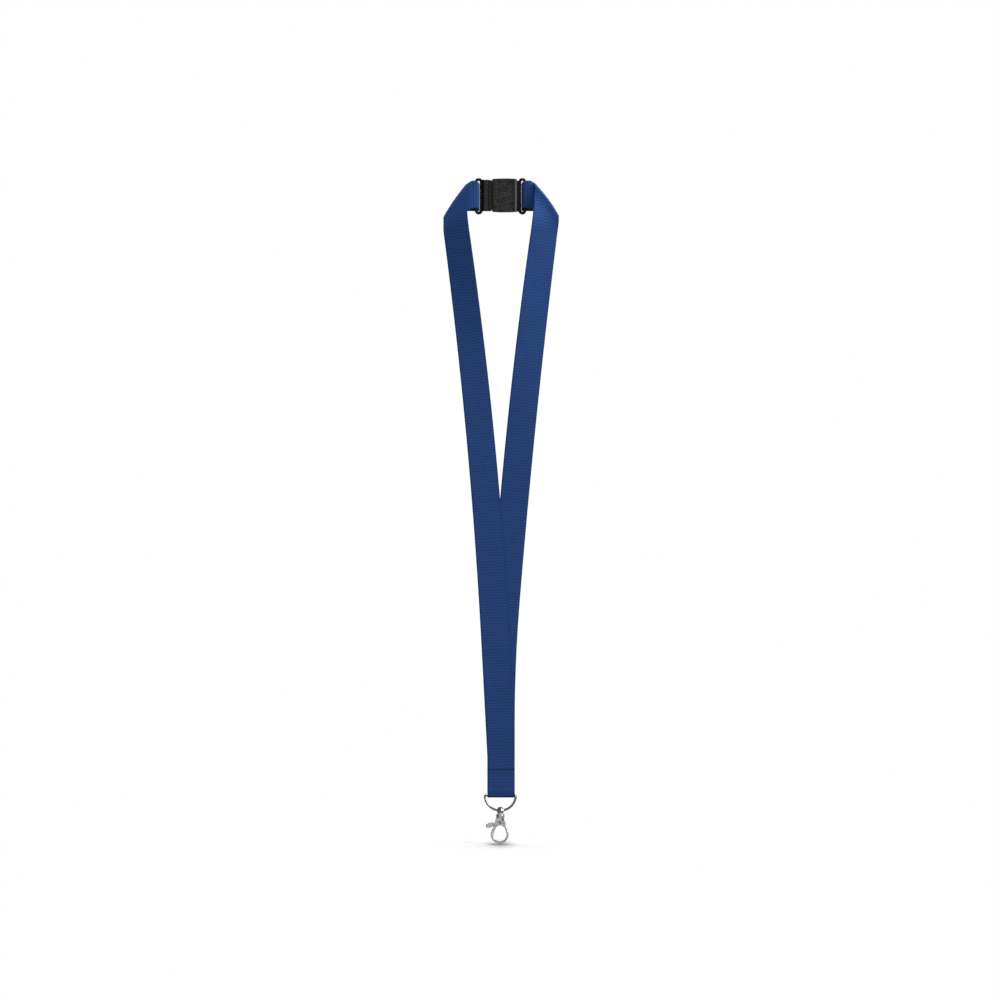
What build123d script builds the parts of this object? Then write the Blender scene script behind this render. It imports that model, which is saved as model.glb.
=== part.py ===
"""Breakaway neck lanyard: folded 20 mm ribbed webbing, safety buckle, D-ring and swivel trigger hook.

Frame: millimetres, +Z up, X to the right, Y away from the front face.
The origin is the middle of the safety buckle, where the lanyard rests on the neck.
The lanyard hangs straight down, folded flat at both ends of the neck band.
"""

import os

from build123d import *

# ---------------------------------------------------------------- webbing
WEB_WIDTH = 20.0
WEB_THICK = 0.9
HALF_WEB = WEB_WIDTH / 2
LAYER_GAP = 0.3          # air between straps that move past each other
TINY = 0.01              # keeps a short straight piece between two arcs

# ---------------------------------------------------------------- safety buckle
RING_X = 16.0            # middle of each webbing ring, left and right
RING_HEIGHT = 26.8
RING_BAR_R = 1.1
RING_PITCH = 3.7         # between the two upright bars of a ring
BODY_RISE = 0.6          # buckle bodies sit slightly above the middle of the rings
SOCKET_LEFT = -6.1
SOCKET_RIGHT = 12.1
SOCKET_HALF_THICK = 3.2
SOCKET_HALF_HEIGHT = 12.1
SOCKET_CROWN = 0.35      # how far the long edges bow out in the middle
SOCKET_RIM_R = 0.5
SHOULDER_LEFT = -13.6
SHOULDER_RIGHT = -6.7
SHOULDER_HALF_HEIGHT = 11.6
SHOULDER_HALF_THICK = 2.7
SHOULDER_FLAT = 0.45     # depth of the low flat between the shoulder's grip band and its rib
JOINT_CHAMFER = 0.35
SPIGOT_LENGTH = 1.3      # flat spigot of the plug, seated in a rebate of the socket's mouth
SPIGOT_HALF_THICK = 1.8
SPIGOT_HALF_HEIGHT = 10.9
REBATE_DEPTH = 0.9
REBATE_CLEAR = 0.2       # air round the spigot
RING_WEB_THICK = 1.6     # between each buckle body and its ring
RING_WEB_HEIGHT = 22.8
RING_WEB_ROOT = 0.5      # how far each web starts inside its body
GROOVE = 0.8             # width and depth of the groove beside the socket's end bar
GROOVE_INSET = 2.1       # from the ring end of the socket to the middle of the groove
PANEL_LEFT = -5.3        # shallow textured panel on both faces of the socket
PANEL_RIGHT = 9.0
PANEL_HALF_HEIGHT = 11.0
PANEL_DEPTH = 0.25
CAVITY_DEPTH = 15.2
CAVITY_HALF_THICK = 1.9
CAVITY_HALF_HEIGHT = 9.9
MOUTH_HALF_HEIGHT = 9.5  # the mouth ledges that the prong bumps snap past
MOUTH_DEPTH = 2.6
PRONG_LENGTH = 13.6
PRONG_HALF_THICK = 1.5
PRONG_OUTER = 8.9
PRONG_WIDTH = 2.4
PRONG_BUMP = 0.4
PRONG_TIP_CHAMFER = 0.9
BUMP_BACK = 3.2          # from the tip of a prong back to its snap bump
BUMP_LENGTH = 1.0
BUMP_RAMP = 0.7
TONGUE_HALF_HEIGHT = 3.2
TONGUE_HALF_THICK = 1.1
TONGUE_LENGTH = 11.0
TONGUE_CHAMFER = 1.0
PLUG_ROOT = 0.5          # how far prongs and tongue start inside the shoulder

# ---------------------------------------------------------------- straps, seen from the front (X, Z)
FOLD_TOP = (25.4, 8.6)           # upper end of each diagonal fold
FOLD_LOW = (41.9, -15.7)         # lower end of each diagonal fold
FLAP_TOP = -420.6                # cut end of the turned-up webbing
STRAP_SPLIT = -419.4             # where the moving part of the left webbing stops, above the seam
STRAP_END = -437.6               # end of the left strap inside the sewn stack
STRAP_HANG_Z = (-20, -150)       # the right strap moves behind the left one between these heights
STACK_STEP_Z = (-419.2, -421.4)  # the right strap steps forward into the sewn stack
LOOP_TAPER_Z = (-434, -438)      # the sewn layers part to go round the D-ring bar
LEFT_OUTER = ((-42.4, -20.5), (-24.4, -182.5), (-12.9, -341.3), (-9.9, -408.0))
LEFT_INNER = ((-25.2, -12.0), (-4.3, -182.5), (7.1, -341.3), (10.1, -408.0))
RIGHT_OUTER = ((42.4, -17.5), (27.2, -151.6), (14.5, -288.3), (10.1, -400.0))
RIGHT_INNER = ((25.2, -12.0), (6.9, -151.6), (-5.5, -288.3), (-9.9, -400.0))

# ---------------------------------------------------------------- webbing layers, front to back (Y)
FRONT_Y = -1.35                          # middle of the strap layer in front of the neck band
BEHIND_Y = FRONT_Y + WEB_THICK + LAYER_GAP
SEWN_BACK_Y = FRONT_Y + WEB_THICK
SEWN_FLAP_Y = FRONT_Y - WEB_THICK

# ---------------------------------------------------------------- neck band, outward from the ring's bar
RING_BAR_X = RING_X + RING_PITCH / 2
BAR_CLEAR = 0.05
BAND_SPREAD = 1.6        # the two layers stand apart up to here
BAND_CLOSED = 4.4        # and lie together from here on
BAND_PLATE = 5.5         # start of the flat plate behind the fold
BAND_CUT = 7.4           # cut end of the layer behind
BAND_FRONT = 8.2         # end of the front layer inside the plate
BAND_LOW_CORNER = (25.4, -10.6)
BAND_BEND_R = 1.0

# ---------------------------------------------------------------- D-ring
D_CENTRE_X = -0.15
D_BAR_Z = -440.4
D_RADIUS = 11.4          # to the middle of the wire
D_WIRE_R = 0.85
D_CORNER_R = 1.2
LOOP_BORE_R = 0.9        # webbing loop round the D-ring bar, a running fit
HANG_BEND_R = 200.0      # long bends where the right strap moves behind the left one
STEP_BEND_R = 3.0

# ---------------------------------------------------------------- swivel eye
EYE_Z = D_BAR_Z - D_RADIUS
EYE_R = 2.9
EYE_HOLE_R = 1.2
EYE_THICK = 2.8
EYE_TURN = 35.0          # degrees the eye stands turned from square across the D-ring
EYE_RIM_R = 0.9
EYE_BASE_R = 2.4
EYE_BASE_THICK = 0.8
EYE_BASE_Z = -454.0
STEM_R = 0.75
STEM_HEAD_R = 1.15
STEM_HEAD_TOP = -456.95
STEM_HEAD_LOW = -457.7

# ---------------------------------------------------------------- trigger hook
HOOK_Y = FRONT_Y
COLLAR_R = 3.1
COLLAR_RIM_R = 0.5
COLLAR_TOP = -454.5
COLLAR_LOW = -456.7
STEM_HOLE_R = 0.8
CHEEK_HALF_THICK = 1.9
CHEEK_RIM_R = 0.35
CHAMBER_HALF_THICK = 1.35  # hollow inside the cheeks for the stem head and the spring
CHAMBER_FLOOR = -458.4     # floor of the hollow on the gate's side of the spring
CHAMBER_LOW = -461.3       # floor of the pocket that holds the spring and the heel
HOOK_HALF_THICK = 1.1
HOOK_RIM_R = 0.45
HOOK_CENTRE = (-0.6, -469.5)
HOOK_OUTER_R = 6.6
OPENING_CENTRE = (-0.4, -469.7)
OPENING_R = 4.8
OPENING_TOP_CENTRE = (-0.2, -466.5)
OPENING_TOP_R = 3.7
BODY_TOP = ((-3.3, COLLAR_LOW), (2.9, COLLAR_LOW))
BODY_LOW = ((-4.6, -462.5), (4.2, -462.5))
PIVOT = (-0.5, -460.3)
PIN_R = 0.6
PIN_HOLE_R = 0.65
PIN_HEAD_R = 1.3
PIN_DIMPLE_R = 0.55
PIN_HEAD_THICK = 0.4
GATE_HALF_THICK = 0.65
GATE_HUB_R = 1.45
SLOT_HALF_THICK = 0.85
GATE_GAP = 0.15
GATE_HUB_CLEAR_R = 2.4  # the full-width gate stays outside this radius, below the cheeks
GATE_TIP_R = 9.0         # from the pivot to the end of the gate's full width
LAP_TIP_R = 10.9         # from the pivot to the end of the gate's inner half
LAP_SPLIT_R = 5.6        # radius that parts the gate's lap from the hook's lip
LEVER_END_X = -10.8
LEVER_TOP_Z = -460.6
LEVER_HEIGHT = 3.4
LEVER_HALF_THICK = 1.3
LEVER_RIM_R = 0.5
SPRING_X = 1.75
SPRING_R = 0.4
SPRING_WIRE_R = 0.12
SPRING_TURNS = 5
SPRING_TOP = -456.8
SPRING_LOW = -459.3
HEEL_TOP = -459.35

# ---------------------------------------------------------------- sewing thread
STITCH_LENGTH = 1.7
STITCH_PITCH = 2.5
STITCH_WIDTH = 0.45
STITCH_HEIGHT = 0.3
STITCHES_PER_SEAM = 7
NECK_STITCH_X = 24.1
END_SEAM_X = 0.1
END_STITCH_ROWS = (-423.4, -433.0)


def prism_y(face, y_low, y_high):
    """A solid from a face drawn in X and Z, between two Y levels."""
    solid = extrude(Plane.XZ * face, amount=-(y_high - y_low))
    return Pos(0, y_low, 0) * solid


def prism_z(face, z_low, z_high):
    """A solid from a face drawn in X and Y, between two Z levels."""
    return Pos(0, 0, z_low) * extrude(face, amount=z_high - z_low)


def polygon(*points):
    return make_face(Polyline(*points, close=True))


def soften(plate, radius):
    """Round the front and back rims of a plate that stands across Y."""
    rims = plate.edges().group_by(Axis.Y)
    return fillet(rims[0] + rims[-1], radius)


def strap_edge(points):
    """One long edge of a strap: an arc through three points, a tangent arc, then straight down."""
    top, middle, low, last = points
    main_arc = ThreePointArc(top, middle, low)
    lower_arc = TangentArc(low, last, tangent=main_arc % 1)
    return main_arc, lower_arc


def strap_face(side, outer, inner, end_z):
    """Front outline of one strap, from its diagonal fold to end_z."""
    fold_top = (side * FOLD_TOP[0], FOLD_TOP[1])
    fold_low = (side * FOLD_LOW[0], FOLD_LOW[1])
    outer_end = (outer[3][0], end_z)
    inner_end = (inner[3][0], end_z)
    outline = [
        Line(fold_top, fold_low),
        Line(fold_low, outer[0]),
        *strap_edge(outer),
        Line(outer[3], outer_end),
        Line(outer_end, inner_end),
        Line(inner_end, inner[3]),
        *strap_edge(inner),
        Line(inner[0], fold_top),
    ]
    return make_face(Wire(outline))


def offset_corners(points, distance):
    """Corners of a path moved sideways by a distance, to the left of its direction of travel."""
    corners = [Vector(*point) for point in points]
    normals = [(b - a).normalized().rotate(Axis.Z, 90) for a, b in zip(corners, corners[1:])]
    moved = [corners[0] + normals[0] * distance]
    for corner, before, after in zip(corners[1:], normals, normals[1:]):
        mitre = (before + after).normalized()
        moved.append(corner + mitre * (distance / mitre.dot(before)))
    moved.append(corners[-1] + normals[-1] * distance)
    return moved


def turn_signs(points):
    """For each inner corner of a path: 1 where it turns left, -1 where it turns right."""
    corners = [Vector(*point) for point in points]
    legs = [b - a for a, b in zip(corners, corners[1:])]
    return [1 if a.cross(b).Z > 0 else -1 for a, b in zip(legs, legs[1:])]


def webbing_profile(points, radii):
    """Edge-on shape of a length of webbing that follows a path of lines and arcs."""
    half = WEB_THICK / 2
    signs = turn_signs(points)
    left_radii = [radius - sign * half for radius, sign in zip(radii, signs)]
    right_radii = [radius + sign * half for radius, sign in zip(radii, signs)]
    left = FilletPolyline(*offset_corners(points, half), radius=left_radii)
    right = FilletPolyline(*offset_corners(points, -half), radius=right_radii)
    ends = [Line(left @ 1, right @ 1), Line(left @ 0, right @ 0)]
    return make_face([*left.edges(), *right.edges(), *ends])


def neck_band(side):
    """The webbing behind the fold, round the outer bar of the buckle ring and back."""
    wrap = RING_BAR_R + WEB_THICK / 2 + BAR_CLEAR
    layer = WEB_THICK / 2
    path = [
        (RING_BAR_X + BAND_FRONT, -layer),
        (RING_BAR_X + BAND_CLOSED, -layer),
        (RING_BAR_X + BAND_SPREAD, -wrap),
        (RING_BAR_X - wrap, -wrap),
        (RING_BAR_X - wrap, wrap),
        (RING_BAR_X + BAND_SPREAD, wrap),
        (RING_BAR_X + BAND_CLOSED, layer),
        (RING_BAR_X + BAND_CUT, layer),
    ]
    bend = BAND_BEND_R
    turn = wrap - TINY
    profile = webbing_profile(path, [bend, bend, turn, turn, bend, bend])
    loop = prism_z(profile, -HALF_WEB, HALF_WEB)
    plate_face = polygon(
        (RING_BAR_X + BAND_PLATE, HALF_WEB),
        FOLD_TOP,
        FOLD_LOW,
        BAND_LOW_CORNER,
        (RING_BAR_X + BAND_PLATE, -HALF_WEB),
    )
    plate = prism_y(plate_face, -WEB_THICK, 0)
    band = loop + plate
    return band if side > 0 else mirror(band, Plane.YZ)


def left_webbing():
    """Left webbing: neck loop, diagonal fold and the front strap, down to the sewn stack."""
    front = prism_y(
        strap_face(-1, LEFT_OUTER, LEFT_INNER, STRAP_SPLIT),
        FRONT_Y - WEB_THICK / 2,
        FRONT_Y + WEB_THICK / 2,
    )
    return front + neck_band(-1)


def left_webbing_end():
    """The end of the left webbing, sewn between the two layers of the right one."""
    face = polygon(
        (LEFT_OUTER[3][0], STRAP_SPLIT - LAYER_GAP),
        (LEFT_INNER[3][0], STRAP_SPLIT - LAYER_GAP),
        (LEFT_INNER[3][0], STRAP_END),
        (LEFT_OUTER[3][0], STRAP_END),
    )
    return prism_y(face, FRONT_Y - WEB_THICK / 2, FRONT_Y + WEB_THICK / 2)


def right_webbing():
    """Right webbing: neck loop, fold and strap, round the D-ring bar and up the front as a flap."""
    wrap = LOOP_BORE_R + WEB_THICK / 2
    turn = wrap - TINY
    hang = HANG_BEND_R
    step = STEP_BEND_R
    side_path = [
        (FRONT_Y, FOLD_TOP[1] + 5),
        (FRONT_Y, STRAP_HANG_Z[0]),
        (BEHIND_Y, STRAP_HANG_Z[1]),
        (BEHIND_Y, STACK_STEP_Z[0]),
        (SEWN_BACK_Y, STACK_STEP_Z[1]),
        (SEWN_BACK_Y, LOOP_TAPER_Z[0]),
        (HOOK_Y + wrap, LOOP_TAPER_Z[1]),
        (HOOK_Y + wrap, D_BAR_Z - wrap),
        (HOOK_Y - wrap, D_BAR_Z - wrap),
        (HOOK_Y - wrap, LOOP_TAPER_Z[1]),
        (SEWN_FLAP_Y, LOOP_TAPER_Z[0]),
        (SEWN_FLAP_Y, FLAP_TOP),
    ]
    profile = webbing_profile(side_path, [hang, hang, step, step, step, step, turn, turn, step, step])
    side_solid = extrude(Plane.YZ * profile, amount=60, both=True)
    front_solid = prism_y(strap_face(1, RIGHT_OUTER, RIGHT_INNER, D_BAR_Z - 5), -6, 4)
    return (side_solid & front_solid) + neck_band(1)


def webbing_ring(x):
    """Closed round-bar ring of a buckle half, which the webbing is threaded through."""
    half_pitch = RING_PITCH / 2
    straight = RING_HEIGHT / 2 - RING_BAR_R - half_pitch
    path = Wire([
        Line((x - half_pitch, -straight), (x - half_pitch, straight)),
        ThreePointArc((x - half_pitch, straight), (x, straight + half_pitch), (x + half_pitch, straight)),
        Line((x + half_pitch, straight), (x + half_pitch, -straight)),
        ThreePointArc((x + half_pitch, -straight), (x, -straight - half_pitch), (x - half_pitch, -straight)),
    ])
    path = Plane.XZ * path
    section = Plane(origin=path @ 0, z_dir=path % 0) * Circle(RING_BAR_R)
    return sweep(section, path)


def shoulder_block():
    """The gripping end of the plug, with a raised band and a rib along the joint."""
    top = SHOULDER_HALF_THICK
    flat = top - SHOULDER_FLAT
    back = [
        (SHOULDER_LEFT, top - 1.3),
        (SHOULDER_LEFT + 1.3, flat),
        (SHOULDER_LEFT + 1.7, top),
        (SHOULDER_LEFT + 4.3, top),
        (SHOULDER_LEFT + 4.7, flat),
        (SHOULDER_RIGHT - 1.7, flat),
        (SHOULDER_RIGHT - 1.4, top + 0.1),
        (SHOULDER_RIGHT - 0.2, top + 0.1),
        (SHOULDER_RIGHT, top - 0.2),
    ]
    front = [(x, -y) for x, y in reversed(back)]
    profile = polygon(*back, *front)
    block = prism_z(profile, BODY_RISE - SHOULDER_HALF_HEIGHT, BODY_RISE + SHOULDER_HALF_HEIGHT)
    ends = block.edges().group_by(Axis.Z)
    return chamfer(ends[0] + ends[-1], JOINT_CHAMFER)


def box_between(low, high):
    """A block from its low corner to its high corner."""
    size = [b - a for a, b in zip(low, high)]
    middle = [(a + b) / 2 for a, b in zip(low, high)]
    return Pos(*middle) * Box(*size)


def plug_tongue():
    """Flat guide tongue in the middle of the plug, with a chamfered tip."""
    root_x = SHOULDER_RIGHT - PLUG_ROOT
    tip_x = SHOULDER_RIGHT + TONGUE_LENGTH
    half = TONGUE_HALF_HEIGHT
    face = polygon(
        (root_x, -half),
        (tip_x - TONGUE_CHAMFER, -half),
        (tip_x, -half + TONGUE_CHAMFER),
        (tip_x, half - TONGUE_CHAMFER),
        (tip_x - TONGUE_CHAMFER, half),
        (root_x, half),
    )
    return prism_y(face, -TONGUE_HALF_THICK, TONGUE_HALF_THICK)


def plug_prong():
    """Upper spring prong of the plug, with the bump that snaps behind the socket's mouth."""
    root_x = SHOULDER_RIGHT - PLUG_ROOT
    tip_x = SHOULDER_RIGHT + PRONG_LENGTH
    bump_x = tip_x - BUMP_BACK
    face = polygon(
        (root_x, PRONG_OUTER - PRONG_WIDTH),
        (tip_x, PRONG_OUTER - PRONG_WIDTH),
        (tip_x, PRONG_OUTER - PRONG_TIP_CHAMFER),
        (tip_x - PRONG_TIP_CHAMFER, PRONG_OUTER),
        (bump_x + BUMP_LENGTH, PRONG_OUTER + PRONG_BUMP),
        (bump_x, PRONG_OUTER + PRONG_BUMP),
        (bump_x - BUMP_RAMP, PRONG_OUTER),
        (root_x, PRONG_OUTER),
    )
    return prism_y(face, -PRONG_HALF_THICK, PRONG_HALF_THICK)


def plug_spigot():
    """Low spigot on the joint face of the plug."""
    return box_between(
        (SHOULDER_RIGHT - PLUG_ROOT, -SPIGOT_HALF_THICK, -SPIGOT_HALF_HEIGHT),
        (SHOULDER_RIGHT + SPIGOT_LENGTH, SPIGOT_HALF_THICK, SPIGOT_HALF_HEIGHT),
    )


def buckle_plug():
    """Plug half: ring, shoulder, spigot, two prongs with snap bumps and a guide tongue between them."""
    inner_bar_x = RING_X - RING_PITCH / 2
    web = box_between(
        (-inner_bar_x, -RING_WEB_THICK / 2, -RING_WEB_HEIGHT / 2),
        (SHOULDER_LEFT + RING_WEB_ROOT, RING_WEB_THICK / 2, RING_WEB_HEIGHT / 2),
    )
    prong = plug_prong()
    inner = plug_spigot() + prong + mirror(prong, Plane.XY) + plug_tongue()
    return shoulder_block() + web + webbing_ring(-RING_X) + Pos(0, 0, BODY_RISE) * inner


def socket_shell():
    """Outside of the socket: bowed long edges, a groove and a rounded bar at the ring end."""
    height = SOCKET_HALF_HEIGHT
    middle = (SOCKET_LEFT + SOCKET_RIGHT) / 2
    outline = make_face(Wire([
        Line((SOCKET_LEFT, -height), (SOCKET_LEFT, height)),
        ThreePointArc((SOCKET_LEFT, height), (middle, height + SOCKET_CROWN), (SOCKET_RIGHT, height)),
        Line((SOCKET_RIGHT, height), (SOCKET_RIGHT, -height)),
        ThreePointArc((SOCKET_RIGHT, -height), (middle, -height - SOCKET_CROWN), (SOCKET_LEFT, -height)),
    ]))
    shell = prism_y(outline, -SOCKET_HALF_THICK, SOCKET_HALF_THICK)
    return fillet(shell.edges(), SOCKET_RIM_R)


def socket_cavity():
    """Inside of the socket: a rebate for the spigot, the mouth ledges and the deep part behind them."""
    rebate_half_thick = SPIGOT_HALF_THICK + REBATE_CLEAR
    rebate_half_height = SPIGOT_HALF_HEIGHT + REBATE_CLEAR
    mouth_end = SOCKET_LEFT + MOUTH_DEPTH
    rebate = box_between(
        (SOCKET_LEFT - 1, -rebate_half_thick, -rebate_half_height),
        (SOCKET_LEFT + REBATE_DEPTH, rebate_half_thick, rebate_half_height),
    )
    mouth = box_between(
        (SOCKET_LEFT - 1, -CAVITY_HALF_THICK, -MOUTH_HALF_HEIGHT),
        (mouth_end, CAVITY_HALF_THICK, MOUTH_HALF_HEIGHT),
    )
    deep = box_between(
        (mouth_end, -CAVITY_HALF_THICK, -CAVITY_HALF_HEIGHT),
        (SOCKET_LEFT + CAVITY_DEPTH, CAVITY_HALF_THICK, CAVITY_HALF_HEIGHT),
    )
    return rebate + mouth + deep


def buckle_socket():
    """Socket half: hollow body open to the left, with mouth ledges inside, and its ring."""
    shell = socket_shell() - socket_cavity()
    groove = Box(GROOVE, GROOVE, 2 * SOCKET_HALF_HEIGHT + 2)
    panel = Box(PANEL_RIGHT - PANEL_LEFT, 2 * PANEL_DEPTH, 2 * PANEL_HALF_HEIGHT)
    for face_y in (-SOCKET_HALF_THICK, SOCKET_HALF_THICK):
        shell -= Pos(SOCKET_RIGHT - GROOVE_INSET, face_y, 0) * groove
        shell -= Pos((PANEL_LEFT + PANEL_RIGHT) / 2, face_y, 0) * panel
    web = box_between(
        (SOCKET_RIGHT - RING_WEB_ROOT, -RING_WEB_THICK / 2, -RING_WEB_HEIGHT / 2),
        (RING_X - RING_PITCH / 2, RING_WEB_THICK / 2, RING_WEB_HEIGHT / 2),
    )
    return Pos(0, 0, BODY_RISE) * shell + web + webbing_ring(RING_X)


def d_ring():
    """Round-wire D-ring: a straight bar in the webbing loop and a half circle below it."""
    left = D_CENTRE_X - D_RADIUS
    right = D_CENTRE_X + D_RADIUS
    wire = Wire([
        Line((left, D_BAR_Z), (right, D_BAR_Z)),
        ThreePointArc((right, D_BAR_Z), (D_CENTRE_X, D_BAR_Z - D_RADIUS), (left, D_BAR_Z)),
    ])
    wire = wire.fillet_2d(D_CORNER_R, wire.vertices())
    path = Plane.XZ.offset(-HOOK_Y) * wire
    section = Plane(origin=path @ 0, z_dir=path % 0) * Circle(D_WIRE_R)
    return sweep(section, path)


def swivel_eye():
    """Eye that hangs on the D-ring, with a stem and a riveted head inside the hook."""
    blank = Cylinder(EYE_R, EYE_THICK, rotation=(0, 90, 0))
    blank = fillet(blank.edges(), EYE_RIM_R)
    eye = Pos(D_CENTRE_X, HOOK_Y, EYE_Z) * Rot(0, 0, EYE_TURN) * blank
    eye -= Pos(D_CENTRE_X, HOOK_Y, EYE_BASE_Z - 5) * Box(10, 10, 10)
    base_middle_z = EYE_BASE_Z + EYE_BASE_THICK / 2
    eye += Pos(D_CENTRE_X, HOOK_Y, base_middle_z) * Cylinder(EYE_BASE_R, EYE_BASE_THICK)
    eye -= Pos(D_CENTRE_X, HOOK_Y, EYE_Z) * Cylinder(EYE_HOLE_R, 12, rotation=(0, 90, 0))
    stem_length = base_middle_z - STEM_HEAD_LOW
    eye += Pos(D_CENTRE_X, HOOK_Y, STEM_HEAD_LOW + stem_length / 2) * Cylinder(STEM_R, stem_length)
    head_thick = STEM_HEAD_TOP - STEM_HEAD_LOW
    return eye + Pos(D_CENTRE_X, HOOK_Y, STEM_HEAD_LOW + head_thick / 2) * Cylinder(STEM_HEAD_R, head_thick)


def circle_at(centre, radius):
    return Pos(*centre) * Circle(radius)


def hook_outline():
    """Whole front outline of hook and gate together: a tapered body running into a round bend."""
    body = polygon(BODY_TOP[0], BODY_TOP[1], BODY_LOW[1], BODY_LOW[0])
    bend = circle_at(HOOK_CENTRE, HOOK_OUTER_R)
    flank = make_hull([*circle_at(HOOK_CENTRE, HOOK_OUTER_R).edges(), Line(BODY_LOW[0], BODY_LOW[1])])
    return body + bend + flank


def opening_outline():
    """Pear-shaped opening of the hook."""
    bend = circle_at(OPENING_CENTRE, OPENING_R)
    top = circle_at(OPENING_TOP_CENTRE, OPENING_TOP_R)
    return make_hull([*bend.edges(), *top.edges()])


def hook_plate():
    """Hook and gate together as one rounded casting, before they are parted."""
    face = hook_outline() - opening_outline()
    return soften(prism_y(face, HOOK_Y - HOOK_HALF_THICK, HOOK_Y + HOOK_HALF_THICK), HOOK_RIM_R)


def hook_depth(face):
    """A cutting block through the thickness of the hook."""
    return prism_y(face, HOOK_Y - 3, HOOK_Y + 3)


def gate_reach(gap):
    """Everything within reach of the gate's two-step tip, grown by a gap for the hook's cut-out."""
    wide = circle_at(PIVOT, GATE_TIP_R + gap)
    lap = circle_at(PIVOT, LAP_TIP_R + gap) & circle_at(OPENING_CENTRE, LAP_SPLIT_R + gap)
    return wide + lap


def below_cheeks(right_x, gap):
    """Region left of right_x and below the cheeks, with a gap under them."""
    top_z = BODY_LOW[0][1] - gap
    return polygon((-13, top_z), (right_x, top_z), (right_x, -468.0), (-3.1, -474.0), (-13, -474.0))


def hook_body():
    """Cast hook: collar, two cheeks joined by a window frame, and the round hook."""
    bend = hook_plate() - hook_depth(gate_reach(GATE_GAP) & below_cheeks(0.5, 0))
    cheek_face = polygon(BODY_TOP[0], BODY_TOP[1], BODY_LOW[1], BODY_LOW[0]) - opening_outline()
    cheeks = soften(prism_y(cheek_face, HOOK_Y - CHEEK_HALF_THICK, HOOK_Y + CHEEK_HALF_THICK), CHEEK_RIM_R)
    collar_height = COLLAR_TOP - COLLAR_LOW
    collar = Pos(D_CENTRE_X, HOOK_Y, COLLAR_LOW + collar_height / 2) * Cylinder(COLLAR_R, collar_height)
    collar = fillet(collar.edges().group_by(Axis.Z)[-1], COLLAR_RIM_R)
    body = bend + cheeks + collar
    body -= Pos(D_CENTRE_X, HOOK_Y, COLLAR_LOW) * Cylinder(STEM_HOLE_R, 8)
    chamber = polygon(
        (-1.8, COLLAR_LOW),
        (2.4, COLLAR_LOW),
        (2.9, CHAMBER_LOW),
        (1.1, CHAMBER_LOW),
        (1.1, CHAMBER_FLOOR),
        (-1.8, CHAMBER_FLOOR),
    )
    body -= prism_y(chamber, HOOK_Y - CHAMBER_HALF_THICK, HOOK_Y + CHAMBER_HALF_THICK)
    window = polygon((0.9, -457.3), (2.3, -457.3), (2.8, CHAMBER_LOW), (1.3, CHAMBER_LOW))
    body -= prism_y(window, HOOK_Y - 3, HOOK_Y)
    slot = polygon((-9, CHAMBER_FLOOR), (1.1, CHAMBER_FLOOR), (2.9, CHAMBER_LOW), (1.9, -463.4), (-9, -468))
    body -= prism_y(slot, HOOK_Y - SLOT_HALF_THICK, HOOK_Y + SLOT_HALF_THICK)
    body -= Pos(PIVOT[0], HOOK_Y, PIVOT[1]) * Cylinder(PIN_HOLE_R, 8, rotation=(90, 0, 0))
    return body


def gate_lever():
    """Gate with its hub on the pin, a heel under the spring, a lapped tip and the thumb lever."""
    reach = (gate_reach(0) & below_cheeks(PIVOT[0] - 0.3, GATE_GAP)) - circle_at(PIVOT, GATE_HUB_CLEAR_R)
    arm = hook_plate() & hook_depth(reach)
    hub = circle_at(PIVOT, GATE_HUB_R)
    pin_x, pin_z = PIVOT
    root = polygon((pin_x, pin_z + 1.3), (-6.4, -461.5), (-6.4, -463.4), (-2.2, -463.8), (pin_x, -462.9))
    heel = polygon((pin_x, pin_z + 1.0), (2.2, HEEL_TOP), (2.2, HEEL_TOP - 0.9), (pin_x, pin_z - 1.0))
    web_face = hub + (root - opening_outline()) + heel
    web = prism_y(web_face, HOOK_Y - GATE_HALF_THICK, HOOK_Y + GATE_HALF_THICK)
    lever = polygon(
        (-5.3, LEVER_TOP_Z + 0.1),
        (LEVER_END_X + 1.0, LEVER_TOP_Z - 0.6),
        (LEVER_END_X, LEVER_TOP_Z - 1.6),
        (LEVER_END_X, LEVER_TOP_Z - LEVER_HEIGHT),
        (LEVER_END_X + 1.2, LEVER_TOP_Z - LEVER_HEIGHT - 0.7),
        (-6.4, LEVER_TOP_Z - LEVER_HEIGHT),
        (-5.3, LEVER_TOP_Z - LEVER_HEIGHT + 1.0),
    )
    lever = prism_y(lever, HOOK_Y - LEVER_HALF_THICK, HOOK_Y + LEVER_HALF_THICK)
    lever = soften(fillet(lever.edges().filter_by(Axis.Y), LEVER_RIM_R), LEVER_RIM_R)
    gate = arm + web + lever
    return gate - Pos(PIVOT[0], HOOK_Y, PIVOT[1]) * Cylinder(PIN_HOLE_R, 8, rotation=(90, 0, 0))


def gate_pivot_pin():
    """Rivet that carries the gate, headed on both cheeks."""
    shank = Cylinder(PIN_R, 2 * CHEEK_HALF_THICK, rotation=(90, 0, 0))
    head = Cylinder(PIN_HEAD_R, PIN_HEAD_THICK, rotation=(90, 0, 0))
    offset = CHEEK_HALF_THICK + PIN_HEAD_THICK / 2
    pin = shank + Pos(0, -offset, 0) * head + Pos(0, offset, 0) * head
    dimple = Cylinder(PIN_DIMPLE_R, PIN_HEAD_THICK, rotation=(90, 0, 0))
    pin -= Pos(0, -offset - PIN_HEAD_THICK / 2, 0) * dimple
    pin -= Pos(0, offset + PIN_HEAD_THICK / 2, 0) * dimple
    return Pos(PIVOT[0], HOOK_Y, PIVOT[1]) * pin


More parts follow.
